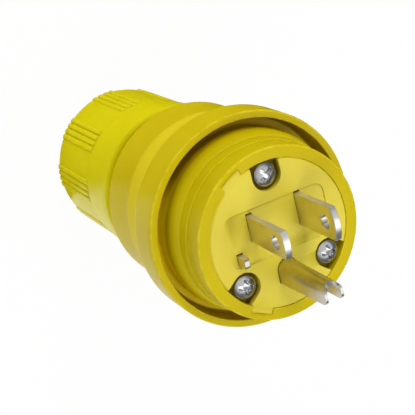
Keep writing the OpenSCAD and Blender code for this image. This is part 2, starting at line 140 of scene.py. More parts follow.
def addObject(name, data):
    piece = bpy.data.objects.new(name, data)
    scene.collection.objects.link(piece)
    return piece


def gridPiece(name, points, bend):
    # a closed grid of rows and columns, both of which join up with themselves, given in millimetres
    rows, columns = points.shape[:2]
    index = np.arange(rows * columns).reshape(rows, columns)
    up, side = np.roll(index, -1, 0), np.roll(index, -1, 1)
    faces = np.stack([index, side, np.roll(up, -1, 1), up], -1).reshape(-1, 4)
    flat = points.reshape(-1, 3) * mm
    a, b, c, d = (flat[faces[:, k]] for k in range(4))
    volume = (np.einsum("ij,ij->i", a, np.cross(b, c)) + np.einsum("ij,ij->i", a, np.cross(c, d))).sum()
    if volume < 0:
        faces = faces[:, ::-1]  # faces point outwards
    mesh = bpy.data.meshes.new(name)
    mesh.from_pydata(flat.tolist(), [], faces.tolist())
    mesh.shade_smooth()
    mesh.attributes.new("edgeBend", "FLOAT", "POINT").data.foreach_set(
        "value", np.broadcast_to(bend, (rows, columns)).astype(np.float32).ravel())
    return addObject(name, mesh)


def roundEdges(piece, width, steps, edgeDeg):
    # a bevel on every edge that is sharper than edgeDeg
    edge = piece.modifiers.new("roundedEdges", "BEVEL")
    edge.width = width * mm
    edge.segments = steps
    edge.limit_method = "ANGLE"
    edge.angle_limit = math.radians(edgeDeg)
    edge.harden_normals = True


def softCopy(node, name, width, steps, edgeDeg=32, flatDeg=0.6):
    # a merged copy of a CAD node with its sharp edges rounded off by a bevel
    mesh = frame["nodes"][node].data.copy()
    mesh.name = name
    mesh.materials.clear()
    work = bmesh.new()
    work.from_mesh(mesh)
    bmesh.ops.remove_doubles(work, verts=work.verts, dist=mergeDistance)
    bmesh.ops.dissolve_limit(work, angle_limit=math.radians(flatDeg), verts=work.verts, edges=work.edges)
    work.to_mesh(mesh)
    work.free()
    mesh.shade_smooth()
    mesh.set_sharp_from_angle(angle=math.radians(edgeDeg))
    piece = addObject(name, mesh)
    if width:
        roundEdges(piece, width, steps, edgeDeg)
    return piece


# Thread of the hub and of the nut's bore

threadForm = {"pitch": 3.0, "depth": 0.75, "root": 0.3, "flank": 0.36}


def threadGroove(height, angles, low, high, fade, shift=0.0):
    # depth below the crest: a trapezoid in (height / pitch - turns), fading in above low and out below high
    phase = np.mod((height + shift) / threadForm["pitch"] - angles / (2 * np.pi), 1)
    crest = np.clip((np.abs(phase - 0.5) * 2 - threadForm["root"]) / threadForm["flank"], 0, 1)
    ends = easeStep(low, low + fade, height) * (1 - easeStep(high - fade, high, height))
    return threadForm["depth"] * ends * (1 - crest)


# Housing

housingLow, housingHigh = boxOf("housing")
housingForm = {
    "hubR": 15.9, "hubZ": housingLow.z, "hubEdge": 1.0, "hubRound": 0.3, "hubEndRound": 0.25,
    "threadLow": 11.2, "threadHigh": 42.6, "threadFade": 1.5,
    "backR": 19.0, "backZ": 44.0, "backRound": 0.5, "flangeR": 23.5, "flangeZ": 48.8, "flangeRound": 0.5,
    "neckR": 22.7, "waistCurve": 8.0, "waistRows": 8, "coneLength": 11.5, "creaseR": 24.9, "creaseRound": 0.5,
    "shoulderZ": 73.0, "shoulderCurve": 3.0, "shoulderStart": 12.0, "shoulderRows": 12,
    "skirtR": housingHigh.x, "rimZ": 81.5, "rimRound": 0.5, "lipRound": 0.3,
    "recessR": 24.5, "recessZ": 75.5, "recessDraft": 0.3, "recessRound": 0.7, "noseR": 22.0, "noseRows": 16,
    "ringZ": 85.5, "ringR": 21.16, "ringStep": 0.28, "ringRound": 0.25, "ringFrontZ": 88.7, "bandRound": 0.2,
    "frontR": 20.5, "frontRound": 0.5, "cavityR": 17.63, "cavityRound": 0.2, "blockZ": boxOf("terminal_block")[0].z,
    "wireR": 11.2, "cordR": 9.5, "throatR": 11.5, "throatZ": boxOf("cable_grommet")[1].z,
    "mouthR": 13.5, "mouthRound": 0.3,
    "tabAngle": 118.0, "tabHalf": 2.9, "tabR": 19.0, "tabDepth": 4.1, "tabStep": 0.05, "tabSlope": 0.0012,
    "columns": 300, "row": 2.5, "hubRow": 0.3,
}


def housingOutline(form):
    # a concave curve leads from the waist into a cone, a convex one from the crease up to the skirt
    shoulderTurn = math.acos(1 - (form["skirtR"] - form["creaseR"]) / form["shoulderCurve"])
    coneTurn = math.atan((form["creaseR"] - form["neckR"]) / form["coneLength"])
    creaseZ = form["shoulderZ"] - form["shoulderCurve"] * math.sin(shoulderTurn)
    waistZ = creaseZ - form["coneLength"] - form["waistCurve"] * math.tan(coneTurn / 2)
    shoulderTurn, coneTurn = math.degrees(shoulderTurn), math.degrees(coneTurn)
    # the nose's circle leaves its base upright and meets the rear ring line
    rise, lean = form["ringZ"] - form["rimZ"], form["noseR"] - form["ringR"]
    noseCurve = (lean ** 2 + rise ** 2) / (2 * lean)
    noseTurn = math.degrees(math.asin(rise / noseCurve))
    tabZ = faceZ - form["tabDepth"]
    corners = np.vstack([
        [form["hubR"] - form["hubEdge"], form["hubZ"], form["hubEndRound"]],
        [form["hubR"], form["hubZ"] + form["hubEdge"], form["hubRound"]],
        [form["hubR"], form["backZ"], form["backRound"]],
        [form["backR"], form["backZ"], form["backRound"]],
        [form["flangeR"], form["flangeZ"], form["flangeRound"]],
        arcPoints(form["neckR"] + form["waistCurve"], waistZ, form["waistCurve"],
                  180, 180 - coneTurn, form["waistRows"]),
        [form["creaseR"], creaseZ, form["creaseRound"]],
        arcPoints(form["skirtR"] - form["shoulderCurve"], form["shoulderZ"], form["shoulderCurve"],
                  form["shoulderStart"] - shoulderTurn, 0, form["shoulderRows"]),
        [form["skirtR"], form["rimZ"], form["rimRound"]],
        [form["recessR"], form["rimZ"], form["lipRound"]],
        [form["recessR"] - form["recessDraft"], form["recessZ"], form["recessRound"]],
        [form["noseR"], form["recessZ"], form["recessRound"]],
        arcPoints(form["noseR"] - noseCurve, form["rimZ"], noseCurve, 0, noseTurn, form["noseRows"]),
        [form["ringR"] - form["ringStep"], form["ringZ"] + form["ringStep"], form["ringRound"]],
        [form["frontR"] + form["ringStep"], form["ringFrontZ"], form["bandRound"]],
        [form["frontR"], form["ringFrontZ"] + form["ringStep"], form["ringRound"]],
        [form["frontR"], faceZ, form["frontRound"]],
        [form["cavityR"], faceZ, form["cavityRound"]],
        [form["cavityR"], tabZ + form["tabStep"], 0],
        [form["cavityR"], tabZ, 0],
        [form["cavityR"], form["blockZ"], 0],
        [form["wireR"], form["blockZ"], 0],
        [form["wireR"], form["throatZ"] + form["wireR"] - form["cordR"], 0],
        [form["cordR"], form["throatZ"], 0],
        [form["throatR"], form["throatZ"], 0],
        [form["mouthR"], form["hubZ"], form["mouthRound"]]])
    return roundCorners(corners)


def makeHousing(form):
    # radius of revolution = outline radius, less the thread's groove on the hub, widened at the two tab notches
    outline = housingOutline(form)
    hubTop = form["backZ"] - form["backRound"]

    def onHub(rows):
        return onWall(rows, form["hubR"]) & (rows[:, 1] < hubTop)

    # the hub has finer rows than the rest
    fine, rough = splitLong(outline, form["hubRow"]), splitLong(outline, form["row"])
    rest = rough[~onHub(rough)]
    start = int(np.argmax(rest[:, 1] > hubTop - form["backRound"]))
    rows = np.vstack([rest[:start], fine[onHub(fine)], rest[start:]])
    # two columns stand close together at each side of a notch
    half = math.asin(form["tabHalf"] / form["tabR"])
    tab, slope = math.radians(form["tabAngle"]), form["tabSlope"]
    sides = [t + s * half + e for t in (tab, -tab) for s in (-1, 1) for e in (-slope, slope)]
    base = np.linspace(0, 2 * np.pi, form["columns"], endpoint=False)
    angles = np.unique(np.mod(np.r_[base, sides], 2 * np.pi))
    r, z = rows[:, :1], rows[:, 1:]
    groove = threadGroove(z, angles[None], form["threadLow"], form["threadHigh"], form["threadFade"])
    radius = r - onWall(rows, form["hubR"])[:, None] * groove
    fromTab = np.minimum(turnBetween(angles, tab), turnBetween(angles, -tab))
    inNotch = (z > faceZ - form["tabDepth"] + nearby) & (r < form["tabR"]) & (fromTab < half)[None]
    radius = np.where(inNotch, form["tabR"], radius)
    return gridPiece("housing_shell", turned(radius, z, angles), outlineBend(rows)[:, None])


housingShell = makeHousing(housingForm)
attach(housingShell, "plug")
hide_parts("housing")
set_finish(housingShell, "housing_yellow")
print("housing:", len(housingShell.data.polygons), "faces")


# Gland nut

nutHigh = boxOf("gland_nut")[1]
nutForm = {
    "length": nutHigh.z, "r": 20.2, "footRound": 1.2, "edge": 1.0, "edgeRound": 0.3, "cornerSteps": 7,
    "stepZ": 24.2, "stepLength": 0.6, "stepRound": 0.5,
    "collarR": nutHigh.x, "collarStep": 0.35, "collarRound": 1.2, "collarPlain": 2.5, "flareCurve": 6.0,
    "boreR": 16.1, "floorZ": 4.5, "cordR": 9.5, "threadLow": 8.0, "threadHigh": 39.0, "threadFade": 1.0,
    "groups": 9, "perGroup": 4, "pitchDeg": 4.8, "phaseDeg": 14.5, "gapDeg": 8.0, "gapColumns": 7,
    "ribHeight": 0.38, "ribWidth": 1.42, "ribLow": 0.35, "ribRise": 0.6, "ribHigh": 24.0, "ribFade": 0.3,
    "ribColumns": (0.28, 0.55, 0.8, 0.96, 1.08, 1.35),  # on each side of a rib's middle, in half widths
    "crestBend": 2.88, "footBend": 1.08, "bendReach": 1.3,  # pale crests, wear and painted highlight; darker feet beside them, grime and painted shade
    "row": 2.2, "boreRow": 0.55, "ribRow": 1.7, "endRows": 6,
}


def nutAngles(form):
    # columns stand close together across each rib and evenly in the gaps between groups
    side = np.array(form["ribColumns"])
    across = np.r_[-side[::-1], 0, side]
    halfRib = form["ribWidth"] / 2 / form["r"]
    group = np.radians(form["phaseDeg"] + 360 / form["groups"] * np.arange(form["groups"]))
    rib = np.radians(form["pitchDeg"]) * (np.arange(form["perGroup"]) - (form["perGroup"] - 1) / 2)
    centres = (group[:, None] + rib[None]).ravel()
    onRibs = (centres[:, None] + halfRib * across[None]).ravel()
    gap = np.radians(np.linspace(-form["gapDeg"], form["gapDeg"], form["gapColumns"]))
    between = (group[:, None] + np.pi / form["groups"] + gap[None]).ravel()
    return centres, np.unique(np.round(np.mod(np.r_[onRibs, between], 2 * np.pi), 6))


def nutRows(form):
    # the bore has finer rows for its thread, and the outer wall has extra rows where the ribs end
    outline = roundCorners(np.array([
        [form["cordR"] + form["edge"], 0, form["edgeRound"]],
        [form["r"], 0, form["footRound"]],
        [form["r"], form["stepZ"], form["edgeRound"]],
        [form["r"] + form["collarStep"], form["stepZ"] + form["stepLength"], form["stepRound"]],
        [form["collarR"], form["length"] - form["collarRound"] - form["collarPlain"], form["flareCurve"]],
        [form["collarR"], form["length"], form["collarRound"]],
        [form["boreR"] + form["edge"], form["length"], form["edgeRound"]],
        [form["boreR"], form["length"] - form["edge"], form["edgeRound"]],
        [form["boreR"], form["floorZ"], 0],
        [form["cordR"], form["floorZ"], form["edgeRound"]],
        [form["cordR"], form["edge"], form["edgeRound"]]]), form["cornerSteps"])
    fine, rough = splitLong(outline, form["boreRow"]), splitLong(outline, form["row"])
    roughBore = onWall(rough, form["boreR"])
    start, rest = int(np.argmax(roughBore)), rough[~roughBore]
    rows = np.vstack([rest[:start], fine[onWall(fine, form["boreR"])], rest[start:]])
    wall = onWall(rows, form["r"])
    first = int(np.argmax(wall))
    last = first + int(wall.sum())
    ends = form["ribHigh"] - form["ribFade"] * np.linspace(1, 0, form["endRows"])
    levels = np.r_[ends, form["ribRow"]]
    outer = np.vstack([rows[first:last], np.c_[np.full(len(levels), form["r"]), levels]])
    outer = outer[np.argsort(outer[:, 1])]
    apart = np.r_[True, np.diff(outer[:, 1]) > 2 * nearby]
    return np.vstack([rows[:first], outer[apart], rows[last:]])


def makeNut(form):
    # radius = outline radius + rib height x rounded rib section x fade at the rib's ends; the bore carries a thread
    rows = nutRows(form)
    r, z = rows[:, :1], rows[:, 1:]
    centres, angles = nutAngles(form)
    # section = square root of (1 - off to the fourth power), off being 1 at the rib's foot
    off = turnBetween(angles[:, None], centres[None]).min(1) * form["r"] / (form["ribWidth"] / 2)
    section = np.sqrt(np.clip(1 - off ** 4, 0, 1))[None]
    fade = easeStep(form["ribLow"], form["ribLow"] + form["ribRise"], z)
    fade = fade * np.sqrt(1 - easeStep(form["ribHigh"] - form["ribFade"], form["ribHigh"], z))
    fade = fade * (r > form["boreR"] + form["edge"])
    lift = fade * section * (form["r"] + form["ribHeight"] - r)
    groove = threadGroove(z, angles[None], form["threadLow"], form["threadHigh"], form["threadFade"],
                          threadForm["pitch"] / 2)
    radius = r + lift + onWall(rows, form["boreR"])[:, None] * groove
    # the crest's bend paints the rib tops pale and their feet dark: wear and grime together with painted highlight and
    # shade
    crest = fade * (form["crestBend"] * section - form["footBend"]) * (off < form["bendReach"])[None]
    return gridPiece("gland_nut_shell", turned(radius, z, angles), outlineBend(rows)[:, None] + crest)


nutShell = makeNut(nutForm)
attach(nutShell, "nut")
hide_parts("gland_nut")
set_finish(nutShell, "nut_yellow")
print("gland nut:", len(nutShell.data.polygons), "faces")


# Cord seal

washerLow, washerHigh = boxOf("thrust_washer")
grommetLow, grommetHigh = boxOf("cable_grommet")
sealForm = {
    "washer": {"outR": washerHigh.x, "inR": 9.5, "low": washerLow.z, "high": washerHigh.z, "round": 0.35},
    "grommet": {
        "cordR": 5.5, "edge": 1.2, "round": 0.3, "rearR": grommetHigh.x, "rearRound": 0.5,
        "coneR": 13.4, "tipR": 11.4, "coneRound": 0.4,
        "low": grommetLow.z, "seat": housingForm["hubZ"], "high": grommetHigh.z, "row": 0.22,
        "rings": (6.9, 8.1, 9.3), "ringWidth": 0.16, "ringDepth": 0.35, "lips": 0.35, "lipPitch": 2.2},
    "columns": 120,
}


def makeWasher(form, columns):
    # a flat ring with rounded edges
    rows = roundCorners([
        [form["inR"], form["low"], form["round"]], [form["outR"], form["low"], form["round"]],
        [form["outR"], form["high"], form["round"]], [form["inR"], form["high"], form["round"]]])
    angles = np.linspace(0, 2 * np.pi, columns, endpoint=False)
    return gridPiece("thrust_washer_ring", turned(rows[:, :1], rows[:, 1:], angles), outlineBend(rows)[:, None])


def makeGrommet(form, columns):
    # a cone with a rear flange, ring grooves in its rear face and shallow sealing waves in its bore:
    # groove = bell of the distance from each ring over ringWidth, wave = (1 - cosine of the turns per lipPitch) / 2
    rows = splitLong(roundCorners([
        [form["cordR"] + form["edge"], form["low"], form["round"]],
        [form["rearR"], form["low"], form["rearRound"]],
        [form["rearR"], form["seat"], form["coneRound"]],
        [form["coneR"], form["seat"], form["round"]],
        [form["tipR"], form["high"], form["coneRound"]],
        [form["cordR"] + form["edge"], form["high"], form["round"]],
        [form["cordR"], form["high"] - form["edge"], form["round"]],
        [form["cordR"], form["low"] + form["edge"], form["round"]]]), form["row"])
    r, z = rows[:, :1], rows[:, 1:]
    groove = sum(np.exp(-((r - ring) / form["ringWidth"]) ** 2) for ring in form["rings"])
    onRear = (z < form["low"] + 2 * nearby) * groove
    wave = 0.5 - 0.5 * np.cos(2 * np.pi * (z - form["low"] - form["edge"]) / form["lipPitch"])
    inBore = (r < form["cordR"] + nearby) * wave
    angles = np.linspace(0, 2 * np.pi, columns, endpoint=False)
    shape = turned(r + form["lips"] * inBore, z + form["ringDepth"] * onRear, angles)
    return gridPiece("cable_grommet_body", shape, outlineBend(rows)[:, None])


washerRing = makeWasher(sealForm["washer"], sealForm["columns"])
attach(washerRing, "washer")
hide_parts("thrust_washer")
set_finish(washerRing, "washer_white")
grommetBody = makeGrommet(sealForm["grommet"], sealForm["columns"])
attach(grommetBody, "plug")
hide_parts("cable_grommet")
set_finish(grommetBody, "grommet_black")
print("cord seal: washer and grommet turned")


# Face, blades, tang and screws

# name of the piece, width and steps of its rounded edges, and slot; the face keeps its edges
edgeForm = {
    "face_disc": ("face_disc_moulding", 0, 0, "face_yellow"),
    "line_blade": ("line_blade_stamping", 0.32, 4, "contact_nickel"),
    "neutral_blade": ("neutral_blade_stamping", 0.32, 4, "contact_nickel"),
    "tang": ("tang_stamping", 0.16, 3, "contact_nickel"),
    "assembly_screws": ("assembly_screw_set", 0.09, 2, "screw_steel"),
}
softPieces = {}
for node, (name, width, steps, slot) in edgeForm.items():
    piece = softCopy(node, name, width, steps)
    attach(piece, "plug")
    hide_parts(node)
    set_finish(piece, slot)
    softPieces[node] = piece
print("face, blades, tang and screws:", len(softPieces), "pieces")


# Earth pin

pinLow, pinHigh = boxOf("earth_pin")
pinForm = {
    "width": pinHigh.x - pinLow.x, "tipWidth": 4.6, "height": pinHigh.y - pinLow.y, "topY": pinHigh.y,
    "length": pinHigh.z - faceZ, "lift": 0.4, "wall": 0.65, "rootDepth": 1.0,
    "tineRound": 1.4, "tineSteps": 9, "noseRound": 2.6, "noseOver": 0.2,
    "rows": 24, "domeSteps": 32, "edge": 0.14, "edgeSteps": 3, "edgeDeg": 35,
}


def pinSheet(form):
    # columns run from one open edge up a leg, over the dome and down the other leg:
    # share is 0 at the open edge and 1 on the dome
    middleY = form["topY"] - form["width"] / 2
    legLength = form["height"] - form["width"] / 2
    tipLeg = legLength - form["lift"]
    quarter = np.radians(np.linspace(0, 90, form["tineSteps"]))
    tine = form["tineRound"] * (1 - np.cos(quarter)) / tipLeg
    leg = np.r_[tine, 0.5 + tine[-1] / 2]
    share = np.r_[leg, np.ones(form["domeSteps"] + 1), leg[::-1]]
    dome = np.linspace(180, 0, form["domeSteps"] + 1)
    turn = np.radians(np.r_[np.full(len(leg), 180.0), dome, np.zeros(len(leg))])
    top, low = faceZ + form["length"], faceZ - form["rootDepth"]
    noseY = middleY + form["tipWidth"] / 2 + form["noseOver"] - form["noseRound"]
    tineY = middleY - tipLeg + form["tineRound"]

    def wall(inset):
        # the sheet's end falls away in an arc over the dome and in a smaller arc at the open edges:
        # fall = round - square root of (round squared - distance past the arc's start squared)
        endY = middleY + (form["tipWidth"] / 2 - inset) * np.sin(turn) - tipLeg * (1 - share)
        over, under = np.clip(endY - noseY, 0, form["noseRound"]), np.clip(tineY - endY, 0, form["tineRound"])
        end = top - form["noseRound"] + np.sqrt(form["noseRound"] ** 2 - over ** 2)
        end = end - form["tineRound"] + np.sqrt(form["tineRound"] ** 2 - under ** 2)
        z = low + (end - low)[None] * np.linspace(0, 1, form["rows"])[:, None]
        # above the face the radius narrows evenly and the open edges rise
        above = np.clip((z - faceZ) / form["length"], 0, 1)
        r = form["width"] / 2 - inset - (form["width"] - form["tipWidth"]) / 2 * above
        rise = form["lift"] * np.clip((z - faceZ) / (form["length"] - form["tineRound"]), 0, 1)
        return np.stack([r * np.cos(turn), middleY + r * np.sin(turn) - (legLength - rise) * (1 - share), z], -1)

    return np.concatenate([wall(0.0), wall(form["wall"])[::-1]])


def makePin(form):
    # rows climb the outer wall and come down the inner one; strips across the sheet close both open edges
    points = pinSheet(form)
    rows, columns = points.shape[:2]
    index = np.arange(rows * columns).reshape(rows, columns)
    up = np.roll(index, -1, 0)
    walls = np.stack([index[:, :-1], index[:, 1:], up[:, 1:], up[:, :-1]], -1).reshape(-1, 4)
    outer, inner = index[:rows // 2], index[rows // 2:][::-1]
    strips = [np.stack([outer[:-1, c], outer[1:, c], inner[1:, c], inner[:-1, c]], -1) for c in (0, -1)]
    sheet = bpy.data.meshes.new("earth_pin_sheet")
    sheet.from_pydata((points.reshape(-1, 3) * mm).tolist(), [], np.vstack([walls, *strips]).tolist())
    # below the face the CAD pin is kept, with the hole for its terminal screw
    cut = (faceZ - form["rootDepth"]) * mm
    work = bmesh.new()
    work.from_mesh(frame["nodes"]["earth_pin"].data)
    bmesh.ops.remove_doubles(work, verts=work.verts, dist=mergeDistance)
    bmesh.ops.bisect_plane(work, geom=[*work.verts, *work.edges, *work.faces],
                           plane_co=(0, 0, cut), plane_no=(0, 0, 1), clear_outer=True)
    bmesh.ops.holes_fill(work, edges=[e for e in work.edges if e.is_boundary], sides=0)
    work.from_mesh(sheet)
    bmesh.ops.recalc_face_normals(work, faces=work.faces)
    mesh = bpy.data.meshes.new("earth_pin_fold")
    work.to_mesh(mesh)
    work.free()
    mesh.shade_smooth()
    mesh.set_sharp_from_angle(angle=math.radians(form["edgeDeg"]))
    piece = addObject("earth_pin_fold", mesh)
    roundEdges(piece, form["edge"], form["edgeSteps"], form["edgeDeg"])
    return piece


pinFold = makePin(pinForm)
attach(pinFold, "plug")
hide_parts("earth_pin")
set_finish(pinFold, "contact_nickel")
print("earth pin:", len(pinFold.data.polygons), "faces")


# Shader helpers

def tint(red, green, blue):
    # screen colour 0 to 255 as linear values
    c = np.array([red, green, blue]) / 255
    return (*np.where(c <= 0.04045, c / 12.92, ((c + 0.055) / 1.055) ** 2.4).tolist(), 1.0)


def addNode(tree, kind, inputs=None, **settings):
    node = tree.nodes.new(kind)
    for key, value in settings.items():
        setattr(node, key, value)
    for key, value in (inputs or {}).items():
        feed(tree, value, node.inputs[key])
    return node


def feed(tree, value, socket):
    # a socket is linked, anything else is written as the socket's own value
    if isinstance(value, bpy.types.NodeSocket):
        tree.links.new(value, socket)
    else:
        socket.default_value = value


def sums(tree, operation, first, second=0.0, third=0.0, clamp=False):
    node = addNode(tree, "ShaderNodeMath", {0: first, 1: second, 2: third}, operation=operation, use_clamp=clamp)
    return node.outputs[0]


def product(tree, first, *others):
    for other in others:
        first = sums(tree, "MULTIPLY", first, other)
    return first


def ramp(tree, value, low, high, bottom=0.0, top=1.0):
    node = addNode(tree, "ShaderNodeMapRange", {0: value, 1: low, 2: high, 3: bottom, 4: top},
                   interpolation_type="SMOOTHSTEP")
    return node.outputs[0]


def mixed(tree, first, second, share):
    # first by its share, second by the rest
    return sums(tree, "MULTIPLY_ADD", first, share, sums(tree, "MULTIPLY", second, 1 - share))


def blendTint(tree, factor, first, second):
    return addNode(tree, "ShaderNodeMix", {0: factor, 6: first, 7: second}, data_type="RGBA").outputs[2]


def noise(tree, vector, scale, detail, roughness=0.5):
    return addNode(tree, "ShaderNodeTexNoise", {
        "Vector": vector, "Scale": scale, "Detail": detail, "Roughness": roughness}).outputs[0]


def axes(tree, vector):
    return addNode(tree, "ShaderNodeSeparateXYZ", {0: vector}).outputs


def newGroup(name, numbers, outputs):
    # a group takes a place and some numbers, and gives masks, heights and gloss
    tree = bpy.data.node_groups.new(name, "ShaderNodeTree")
    tree.interface.new_socket("Vector", in_out="INPUT", socket_type="NodeSocketVector")
    for direction, labels in (("INPUT", numbers), ("OUTPUT", outputs)):
        for label in labels:
            tree.interface.new_socket(label, in_out=direction, socket_type="NodeSocketFloat")
    return tree, tree.nodes.new("NodeGroupInput").outputs, tree.nodes.new("NodeGroupOutput").inputs


def useGroup(tree, group, inputs):
    return addNode(tree, "ShaderNodeGroup", inputs, node_tree=group).outputs


# Shared surface effects

skinForm = {"midScale": 0.13, "fineHeight": 0.6, "midGloss": 0.45, "drift": (0.3, 0.7)}
# pale edges are wear and a painted highlight, dark corners are grime and painted shade
rubAndShadeForm = {"patches": 420.0, "wornHighlight": (0.5, 2.6), "wornHighlightPatch": (0.3, 0.75),
           "grimeShade": (0.35, 1.8), "grimeShadePatch": (0.2, 0.7)}
drawnForm = {"stretch": 0.04, "scratchScale": 0.45, "scratch": (0.66, 0.74), "scratchDepth": 0.5,
             "clouds": 160.0, "tarnish": (0.42, 0.72), "streakGloss": 0.6}


def makeMouldSkin(form):
    # moulded surface: fine grain, soft flow marks and broad colour drift
    tree, given, put = newGroup("mouldSkin", ["Grain", "Flow"], ["Height", "Gloss", "Drift"])
    fine = noise(tree, given["Vector"], given["Grain"], detail=2.0, roughness=0.6)
    mid = noise(tree, given["Vector"], product(tree, given["Grain"], form["midScale"]), detail=3.0, roughness=0.55)
    broad = noise(tree, given["Vector"], given["Flow"], detail=3.0)
    feed(tree, mixed(tree, fine, mid, form["fineHeight"]), put["Height"])
    feed(tree, mixed(tree, mid, broad, form["midGloss"]), put["Gloss"])
    feed(tree, ramp(tree, broad, *form["drift"]), put["Drift"])
    return tree


def makeEdgeRubAndShade(form):
    # convex edges turn pale, partly wear and partly a painted edge highlight, and inner corners darken, partly grime
    # and partly painted crease shade, both broken up by noise
    tree, given, put = newGroup("edgeRubAndShade", ["Bend"], ["Worn", "GrimeShade"])
    broken = noise(tree, given["Vector"], form["patches"], detail=3.0, roughness=0.6)
    wornHighlight = ramp(tree, given["Bend"], *form["wornHighlight"])
    grimeShade = ramp(tree, product(tree, given["Bend"], -1.0), *form["grimeShade"])
    feed(tree, product(tree, wornHighlight, ramp(tree, broken, *form["wornHighlightPatch"])), put["Worn"])
    feed(tree, product(tree, grimeShade, ramp(tree, broken, *form["grimeShadePatch"])), put["GrimeShade"])
    return tree


def makeDrawnMetal(form):
    # drawn sheet: fine streaks along one axis, a few deeper scratches and cloudy tarnish
    tree, given, put = newGroup("drawnMetal", ["Streaks"], ["Height", "Gloss", "Tarnish"])
    long = addNode(tree, "ShaderNodeMapping", {
        "Vector": given["Vector"], "Scale": (1.0, 1.0, form["stretch"])}).outputs[0]
    streak = noise(tree, long, given["Streaks"], detail=3.0, roughness=0.65)
    scratch = noise(tree, long, product(tree, given["Streaks"], form["scratchScale"]), detail=1.0, roughness=0.4)
    scratch = ramp(tree, scratch, *form["scratch"])
    cloud = noise(tree, given["Vector"], form["clouds"], detail=3.0, roughness=0.55)
    feed(tree, sums(tree, "SUBTRACT", streak, product(tree, scratch, form["scratchDepth"])), put["Height"])
    feed(tree, mixed(tree, streak, cloud, form["streakGloss"]), put["Gloss"])
    feed(tree, ramp(tree, cloud, *form["tarnish"]), put["Tarnish"])
    return tree


mouldSkin, edgeRubAndShade, drawnMetal = makeMouldSkin(skinForm), makeEdgeRubAndShade(rubAndShadeForm), makeDrawnMetal(drawnForm)


# Finishes

ringSoft = 0.2  # soft edge of a tinted ring, across its radius, mm


def bareMaterial(name):
    material = bpy.data.materials.new(name)
    material.use_nodes = True
    tree = material.node_tree
    tree.nodes.clear()
    return material, tree, addNode(tree, "ShaderNodeOutputMaterial").inputs[0]


def newFinish(name):
    finish, tree, surface = bareMaterial(name)
    shader = addNode(tree, "ShaderNodeBsdfPrincipled")
    tree.links.new(shader.outputs[0], surface)
    where = addNode(tree, "ShaderNodeTexCoord").outputs["Object"]
    return finish, tree, shader, where


def roughen(tree, shader, gloss, values):
    # roughness = middle + spread x (gloss - 0.5)
    spread = sums(tree, "SUBTRACT", gloss, 0.5)
    feed(tree, sums(tree, "MULTIPLY_ADD", spread, values["roughSpread"], values["rough"], True),
         shader.inputs["Roughness"])


def addBump(tree, shader, height, values):
    bump = addNode(tree, "ShaderNodeBump", {
        "Height": height, "Strength": values["bump"], "Distance": values["bumpDepth"] * mm})
    tree.links.new(bump.outputs[0], shader.inputs["Normal"])


def ringMask(tree, where, ring):
    # 1 between two radii, above floorZ and below deepZ, fading out up to topZ and, if asked, along +Y
    x, y, z = axes(tree, where)
    distance = sums(tree, "SQRT", sums(tree, "MULTIPLY_ADD", x, x, product(tree, y, y)))
    mask = product(
        tree,
        ramp(tree, distance, (ring["inR"] - ringSoft) * mm, ring["inR"] * mm),
        ramp(tree, distance, ring["outR"] * mm, (ring["outR"] + ringSoft) * mm, 1.0, 0.0),
        ramp(tree, z, ring["deepZ"] * mm, ring["topZ"] * mm, 1.0, 0.0),
        ramp(tree, z, ring["floorZ"] * mm, (ring["floorZ"] + ring.get("soft", nearby)) * mm))
    if "fadeY" in ring:
        start, end = ring["fadeY"]
        mask = product(tree, mask, ramp(tree, y, start * mm, end * mm, 1.0, 0.0))
    return mask


def mouldedFinish(name, values):
    # base colour drifts between two tints, edges turn pale with wear and a painted highlight, corners darken with
    # grime and painted shade, chosen rings and depths take their own tint as painted shade or painted light
    finish, tree, shader, where = newFinish(name)
    skin = useGroup(tree, mouldSkin, {"Vector": where, "Grain": values["grain"], "Flow": values["flow"]})
    colour, gloss = blendTint(tree, skin["Drift"], values["tint"], values["drift"]), skin["Gloss"]
    if "wornHighlight" in values:
        bend = addNode(tree, "ShaderNodeAttribute", attribute_name="edgeBend").outputs["Fac"]
        rubAndShade = useGroup(tree, edgeRubAndShade, {"Vector": where, "Bend": bend})
        # pale edges: wear and painted highlight; dark corners: grime and painted shade
        colour = blendTint(tree, product(tree, rubAndShade["Worn"], values["wornHighlightShare"]), colour, values["wornHighlight"])
        colour = blendTint(tree, product(tree, rubAndShade["GrimeShade"], values["grimeShadeShare"]), colour, values["grimeShade"])
    # each ring's tint paints shade or light into its place
    for ring in values.get("rings", ()):
        mask = ringMask(tree, where, ring)
        if "rough" in ring:
            gloss = sums(tree, "MULTIPLY_ADD", mask, ring["rough"] / values["roughSpread"], gloss)
        colour = blendTint(tree, product(tree, mask, ring["share"]), colour, ring["tint"])
    # everything below the face level is painted darker: painted shade in the pockets and slots
    if "sunk" in values:
        sunk = values["sunk"]
        low = ramp(tree, axes(tree, where)["Z"], sunk["lowZ"] * mm, sunk["topZ"] * mm, 1.0, 0.0)
        colour = blendTint(tree, product(tree, low, sunk["share"]), colour, sunk["tint"])
    feed(tree, colour, shader.inputs["Base Color"])
    roughen(tree, shader, gloss, values)
    addBump(tree, shader, skin["Height"], values)
    shader.inputs["Specular IOR Level"].default_value = values["specular"]
    return finish


